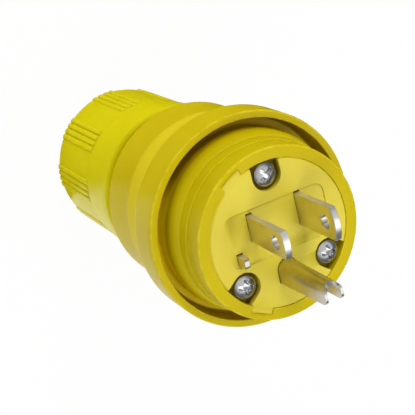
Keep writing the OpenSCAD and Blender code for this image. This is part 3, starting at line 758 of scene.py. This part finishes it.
def metalFinish(name, values):
    # plated metal: streaked roughness, faint tarnish clouds
    finish, tree, shader, where = newFinish(name)
    drawn = useGroup(tree, drawnMetal, {"Vector": where, "Streaks": values["streaks"]})
    tarnish = product(tree, drawn["Tarnish"], values["tarnishShare"])
    colour = blendTint(tree, tarnish, values["tint"], values["tarnish"])
    metallic, gloss = values["metallic"], drawn["Gloss"]
    place, facing = axes(tree, where), axes(tree, addNode(tree, "ShaderNodeTexCoord").outputs["Normal"])
    if "endHighlight" in values:
        # ends are painted brighter, a painted highlight, from lowZ to highZ, in full where they point up and by a
        # share elsewhere
        endHighlight = values["endHighlight"]
        endGlint = product(tree, ramp(tree, place["Z"], endHighlight["lowZ"] * mm, endHighlight["highZ"] * mm),
                       ramp(tree, facing["Z"], *endHighlight["upward"], endHighlight["share"]))
        colour = blendTint(tree, endGlint, colour, endHighlight["tint"])
    if "sheared" in values:
        # edges cut across the sheet are dull: faces that point along +Y or -Y, farther out than side
        sheared = values["sheared"]
        cut = product(tree, ramp(tree, sums(tree, "ABSOLUTE", facing["Y"]), *sheared["sideways"]),
                      sums(tree, "GREATER_THAN", sums(tree, "ABSOLUTE", place["X"]), sheared["side"] * mm))
        metallic = sums(tree, "MULTIPLY_ADD", cut, -sheared["share"], metallic)
        gloss = sums(tree, "MULTIPLY_ADD", cut, sheared["rough"] / values["roughSpread"], gloss)
    feed(tree, colour, shader.inputs["Base Color"])
    feed(tree, metallic, shader.inputs["Metallic"])
    roughen(tree, shader, gloss, values)
    addBump(tree, shader, drawn["Height"], values)
    return finish


# sizes and levels in millimetres
# the nose wall in the recess takes painted shade, and painted light on its lower side
noseWall = {"inR": 21.5, "outR": 23.5, "floorZ": 75.2, "share": 1.0}
finishes = {
    "housing_yellow": mouldedFinish("housingElastomer", {
        "tint": tint(202, 182, 3), "drift": tint(197, 176, 2), "wornHighlight": tint(228, 211, 56), "grimeShade": tint(120, 92, 6),
        "wornHighlightShare": 0.8, "grimeShadeShare": 0.45, "grain": 2600.0, "flow": 55.0, "rough": 0.3, "roughSpread": 0.12,
        "bump": 0.2, "bumpDepth": 0.04, "specular": 0.09,
        "rings": (
            # painted light on the cone, painted shade on the nose wall in the recess, painted light on its lower side,
            # painted shade on the inner wall of the skirt
            {"inR": 22.6, "outR": 24.9, "floorZ": 58.0, "soft": 2.0, "deepZ": 69.6, "topZ": 70.4, "share": 1.0,
             "tint": tint(207, 187, 9), "rough": 0.3},
            {**noseWall, "deepZ": 81.1, "topZ": 81.4, "tint": tint(184, 152, 3)},
            {**noseWall, "deepZ": 79.0, "topZ": 81.2, "tint": tint(255, 226, 10), "fadeY": (10.0, 17.0)},
            {"inR": 23.9, "outR": 24.6, "floorZ": 75.2, "deepZ": 80.5, "topZ": 81.5, "share": 0.9,
             "tint": tint(142, 116, 3)})}),
    "nut_yellow": mouldedFinish("nutPlastic", {
        "tint": tint(214, 203, 4), "drift": tint(209, 196, 3), "wornHighlight": tint(224, 214, 40), "grimeShade": tint(122, 108, 6),
        "wornHighlightShare": 0.5, "grimeShadeShare": 0.5, "grain": 3000.0, "flow": 60.0, "rough": 0.3, "roughSpread": 0.12,
        "bump": 0.18, "bumpDepth": 0.04, "specular": 0.09,
        "rings": (
            # painted shade on the front end, in the joint with the flange
            {"inR": 15.5, "outR": 19.5, "floorZ": 40.3, "deepZ": 41.5, "topZ": 42.0, "share": 0.9,
             "tint": tint(84, 70, 4)},)}),
    "face_yellow": mouldedFinish("facePlastic", {
        "tint": tint(221, 204, 66), "drift": tint(216, 198, 60), "grain": 3600.0, "flow": 80.0, "rough": 0.36,
        "roughSpread": 0.12, "bump": 0.15, "bumpDepth": 0.04, "specular": 0.2,
        # painted shade in the pockets and slots below the face
        "sunk": {"topZ": faceZ - 0.35, "lowZ": faceZ - 1.9, "share": 0.85, "tint": tint(112, 88, 4)}}),
    "block_grey": mouldedFinish("blockPlastic", {
        "tint": tint(58, 58, 60), "drift": tint(50, 50, 52), "grain": 3000.0, "flow": 90.0, "rough": 0.5,
        "roughSpread": 0.15, "bump": 0.2, "bumpDepth": 0.05, "specular": 0.5}),
    "grommet_black": mouldedFinish("grommetRubber", {
        "tint": tint(34, 34, 34), "drift": tint(28, 28, 28), "wornHighlight": tint(58, 58, 56), "grimeShade": tint(16, 16, 16),
        "wornHighlightShare": 0.6, "grimeShadeShare": 0.5, "grain": 2400.0, "flow": 90.0, "rough": 0.62, "roughSpread": 0.18,
        "bump": 0.35, "bumpDepth": 0.06, "specular": 0.4}),
    "washer_white": mouldedFinish("washerPlastic", {
        "tint": tint(226, 224, 214), "drift": tint(218, 215, 203),
        "wornHighlight": tint(236, 234, 226), "grimeShade": tint(150, 144, 126),
        "wornHighlightShare": 0.4, "grimeShadeShare": 0.4, "grain": 2800.0, "flow": 90.0, "rough": 0.45, "roughSpread": 0.14,
        "bump": 0.15, "bumpDepth": 0.04, "specular": 0.5}),
    "contact_nickel": metalFinish("contactNickel", {
        "tint": tint(220, 212, 186), "tarnish": tint(198, 184, 148), "tarnishShare": 0.5, "metallic": 1.0,
        "streaks": 1500.0, "rough": 0.3, "roughSpread": 0.08, "bump": 0.02, "bumpDepth": 0.01,
        "sheared": {"side": 5.0, "sideways": (0.7, 0.97), "share": 0.3, "rough": 0.15},
        # painted highlight on the blades' ends
        "endHighlight": {"lowZ": faceZ + 8, "highZ": faceZ + 13, "upward": (0.2, 0.7), "share": 0.1,
                   "tint": tint(236, 235, 231)}}),
    "pin_nickel": metalFinish("pinNickel", {
        "tint": tint(202, 192, 164), "tarnish": tint(174, 157, 116), "tarnishShare": 0.6, "metallic": 1.0,
        "streaks": 1500.0, "rough": 0.3, "roughSpread": 0.08, "bump": 0.02, "bumpDepth": 0.01,
        # painted highlight on the pin's end
        "endHighlight": {"lowZ": faceZ + 14, "highZ": faceZ + 20, "upward": (0.2, 0.7), "share": 0.7,
                   "tint": tint(204, 204, 201)}}),
    "screw_steel": metalFinish("screwZinc", {
        "tint": tint(226, 227, 228), "tarnish": tint(178, 178, 176), "tarnishShare": 0.4, "metallic": 1.0,
        "streaks": 1200.0, "rough": 0.22, "roughSpread": 0.12, "bump": 0.3, "bumpDepth": 0.05}),
    "terminal_brass": metalFinish("terminalBrass", {
        "tint": tint(214, 178, 96), "tarnish": tint(150, 112, 56), "tarnishShare": 0.5, "metallic": 1.0,
        "streaks": 1200.0, "rough": 0.3, "roughSpread": 0.2, "bump": 0.18, "bumpDepth": 0.03}),
    "terminal_green": metalFinish("terminalGreen", {
        "tint": tint(52, 120, 70), "tarnish": tint(30, 78, 46), "tarnishShare": 0.5, "metallic": 0.85,
        "streaks": 1200.0, "rough": 0.34, "roughSpread": 0.2, "bump": 0.18, "bumpDepth": 0.03}),
}

slotOf = {row["node"]: row["material_slot"] for row in frame["record"]["subparts"]}
for node, piece in frame["nodes"].items():
    piece.data.materials.clear()
    piece.data.materials.append(finishes[slotOf[node]])
for piece in [housingShell, nutShell, washerRing, grommetBody, *softPieces.values()]:
    piece.data.materials.append(finishes[piece["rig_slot"]])
pinFold.data.materials.append(finishes["pin_nickel"])
print("finishes:", len(finishes), "materials assigned")


# Floor, light and camera

stageForm = {
    "half": 3.0, "floorTint": tint(240, 240, 238), "fibreTint": tint(232, 232, 230), "fibreScale": 90.0,
    "white": (1.0, 1.0, 1.0, 1.0), "whiteShare": 0.96, "worldStrength": 0.12,
}


def makeFloor(form):
    # pale paper that camera, mirror and glass rays see as white
    half = form["half"]
    mesh = bpy.data.meshes.new("studio_floor")
    mesh.from_pydata([(-half, -half, 0), (half, -half, 0), (half, half, 0), (-half, half, 0)], [], [(0, 1, 2, 3)])
    floor = addObject("studio_floor", mesh)
    paper, tree, surface = bareMaterial("studioPaper")
    where = addNode(tree, "ShaderNodeTexCoord").outputs["Object"]
    fibre = noise(tree, where, form["fibreScale"], detail=3.0)
    matte = addNode(tree, "ShaderNodeBsdfDiffuse", {
        "Color": blendTint(tree, fibre, form["floorTint"], form["fibreTint"])})
    glow = addNode(tree, "ShaderNodeEmission", {"Color": form["white"], "Strength": 1.0})
    ray = addNode(tree, "ShaderNodeLightPath").outputs
    seen = sums(tree, "MAXIMUM", ray["Is Glossy Ray"], ray["Is Transmission Ray"])
    seen = sums(tree, "MAXIMUM", ray["Is Camera Ray"], seen)
    mix = addNode(tree, "ShaderNodeMixShader", {
        0: product(tree, seen, form["whiteShare"]), 1: matte.outputs[0], 2: glow.outputs[0]})
    tree.links.new(mix.outputs[0], surface)
    mesh.materials.append(paper)
    floor.visible_shadow = False  # lamps low behind the plug shine through the paper


makeFloor(stageForm)
world = bpy.data.worlds.new("studioWorld")
scene.world = world
world.use_nodes = True
world.node_tree.nodes["Background"].inputs["Color"].default_value = stageForm["white"]
world.node_tree.nodes["Background"].inputs["Strength"].default_value = stageForm["worldStrength"]

# camera axes in the part's frame and place from the face's middle, worked out from the photograph's blades and circles
cameraForm = {
    "right": (0.8712, -0.2299, 0.4337), "up": (0.3496, 0.9108, -0.2194), "back": (-0.3446, 0.3428, 0.8739),
    "place": (-105.52, 102.01, 228.29), "focalPixels": 1200.0, "imagePixels": 415.0, "sensor": 36.0, "nearest": 10.0,
}


def makeCamera(form):
    lens = bpy.data.cameras.new("photo_camera")
    lens.sensor_fit = "HORIZONTAL"
    lens.sensor_width = form["sensor"]
    lens.lens = form["focalPixels"] * form["sensor"] / form["imagePixels"]
    lens.clip_start = form["nearest"] * mm
    camera = addObject("photo_camera", lens)
    turn = Matrix((form["right"], form["up"], form["back"])).transposed().to_4x4()
    camera.matrix_world = Matrix.Translation((Vector(form["place"]) + Vector((0, 0, faceZ))) * mm) @ turn
    scene.camera = camera


makeCamera(cameraForm)

# a black card lies on the paper above the plug, so that the upper walls mirror no white; lamps don't see it
cardForm = {
    "corners": ((-410, 318), (-25, -5), (5, -12), (300, -300), (400, 400), (-410, 400)),
    "lift": 0.3, "tint": tint(12, 12, 12),
}


def makeCard(form):
    mesh = bpy.data.meshes.new("studio_card")
    mesh.from_pydata([(x * mm, y * mm, form["lift"] * mm) for x, y in form["corners"]], [],
                     [tuple(range(len(form["corners"])))])
    card = addObject("studio_card", mesh)
    paper, tree, surface = bareMaterial("studioBlack")
    matte = addNode(tree, "ShaderNodeBsdfDiffuse", {"Color": form["tint"]})
    tree.links.new(matte.outputs[0], surface)
    mesh.materials.append(paper)
    card.visible_camera = card.visible_diffuse = card.visible_shadow = False


makeCard(cardForm)

# each lamp stands off the plug's middle along the camera's right, up and back directions, sizes in metres
lampRing = {"away": 0.9, "aimZ": 0.06}
lampForms = {
    "top_lamp": {"along": (-0.1, 0.95, 0.25), "size": 0.5, "power": 1.7, "gleam": False},
    "top_front_lamp": {"along": (0.1, 0.7, 0.7), "size": 0.5, "power": 3.3, "gleam": False},
    "top_rear_lamp": {"along": (-0.1, 0.85, -0.5), "size": 0.5, "power": 0.8, "gleam": False},
    "face_lamp": {"along": (0.5, -0.2, 0.84), "size": 0.8, "power": 2.0, "gleam": False},
    "sheen_lamp": {"along": (0.6, -0.28, 0.75), "size": 1.4, "power": 2.5, "gleam": True},
    "rear_lamp": {"along": (-0.75, 0.3, -0.6), "size": 0.5, "power": 3.4, "gleam": False},
    "rim_lamp": {"along": (-0.415, 0.378, -0.828), "size": 0.25, "power": 3.0, "gleam": False},
    "left_lamp": {"along": (-1.0, 0.05, 0.15), "size": 0.5, "power": 0.6, "gleam": False},
    "right_lamp": {"along": (0.9, 0.1, 0.4), "size": 0.5, "power": 0.5, "gleam": False},
    "low_lamp": {"along": (-0.4, -0.9, 0.2), "size": 0.5, "power": 1.3, "gleam": False},
    "low_front_lamp": {"along": (0.1, -0.75, 0.65), "size": 0.5, "power": 2.2, "gleam": False},
    "tip_lamp": {"along": (0.76, -0.38, 0.53), "size": 0.45, "power": 0.62, "gleam": True},
    "glint_lamp": {"along": (0.24, 0.72, 0.65), "size": 0.45, "power": 0.55, "gleam": True},
}


def makeLamp(name, form):
    right, up, back = (Vector(cameraForm[k]) for k in ("right", "up", "back"))
    toward = (right * form["along"][0] + up * form["along"][1] + back * form["along"][2]).normalized()
    light = bpy.data.lights.new(name, "AREA")
    light.shape = "DISK"
    light.size = form["size"]
    light.energy = form["power"]
    lamp = addObject(name, light)
    lamp.visible_glossy = form["gleam"]  # only some lamps show as highlights
    lamp.location = Vector((0, 0, lampRing["aimZ"])) + toward * lampRing["away"]
    lamp.rotation_euler = toward.to_track_quat("Z", "Y").to_euler()


for lampName, lampForm in lampForms.items():
    makeLamp(lampName, lampForm)
scene.view_settings.view_transform = "Standard"
print("stage: floor, world,", len(lampForms), "lamps and camera set")
